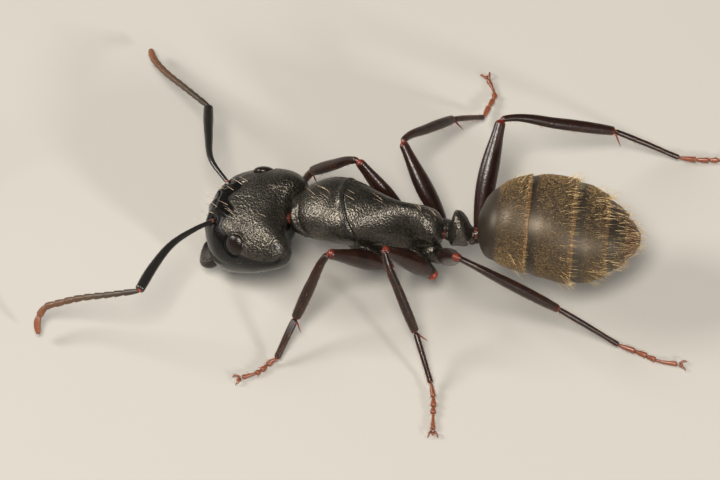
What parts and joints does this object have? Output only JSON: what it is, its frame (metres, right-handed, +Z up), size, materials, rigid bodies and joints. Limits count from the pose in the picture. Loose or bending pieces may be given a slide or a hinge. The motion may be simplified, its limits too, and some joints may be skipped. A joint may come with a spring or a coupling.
{
  "type": "black carpenter ant",
  "caption": "Life-size still model of a wingless black carpenter ant worker standing on all its legs, head low and feelers spread, with golden down on its gaster",
  "frame": {"origin": "on the floor, at the middle of the whole ant with its legs and feelers seen from above", "axes": "+Z up, the ant faces -Y, its left side is +X"},
  "size_m": [0.0106, 0.0166, 0.0037],
  "materials": {
    "black_shell": "satin black insect shell, finely reticulate and dotted with shallow pits",
    "glossy_shell": "smooth glossy black insect shell",
    "gaster_shell": "dark grey-brown shell with smooth bands behind golden down",
    "leg_shell": "glossy black-brown shell that turns deep red at the joints",
    "rust_shell": "rust-red semi-gloss shell",
    "feeler_shell": "olive-brown downy shell, orange at the tip",
    "compound_eye": "dark grey faceted eye with a soft shine",
    "bristle": "translucent golden to pinkish bristle",
    "joint_skin": "soft orange-red joint skin"
  },
  "bodies": {
    "root": {"head": "black_shell", "left_eye": "compound_eye", "left_mandible": "glossy_shell", "left_scape": "glossy_shell", "left_funiculus_base": "feeler_shell", "left_funiculus_tip": "feeler_shell", "right_eye": "compound_eye", "right_mandible": "glossy_shell", "right_scape": "glossy_shell", "right_funiculus_base": "feeler_shell", "right_funiculus_tip": "feeler_shell", "pronotum": "black_shell", "mesonotum": "black_shell", "propodeum": "black_shell", "petiole": "black_shell", "gaster_1": "gaster_shell", "gaster_2": "gaster_shell", "gaster_3": "gaster_shell", "gaster_4": "gaster_shell", "gaster_tip": "gaster_shell", "left_fore_coxa": "black_shell", "left_fore_femur": "leg_shell", "left_fore_tibia": "leg_shell", "left_fore_basitarsus": "rust_shell", "left_fore_tarsus": "rust_shell", "left_mid_coxa": "black_shell", "left_mid_femur": "leg_shell", "left_mid_tibia": "leg_shell", "left_mid_basitarsus": "rust_shell", "left_mid_tarsus": "rust_shell", "left_hind_coxa": "black_shell", "left_hind_femur": "leg_shell", "left_hind_tibia": "leg_shell", "left_hind_basitarsus": "rust_shell", "left_hind_tarsus": "rust_shell", "right_fore_coxa": "black_shell", "right_fore_femur": "leg_shell", "right_fore_tibia": "leg_shell", "right_fore_basitarsus": "rust_shell", "right_fore_tarsus": "rust_shell", "right_mid_coxa": "black_shell", "right_mid_femur": "leg_shell", "right_mid_tibia": "leg_shell", "right_mid_basitarsus": "rust_shell", "right_mid_tarsus": "rust_shell", "right_hind_coxa": "black_shell", "right_hind_femur": "leg_shell", "right_hind_tibia": "leg_shell", "right_hind_basitarsus": "rust_shell", "right_hind_tarsus": "rust_shell"}
  },
  "joints": []
}
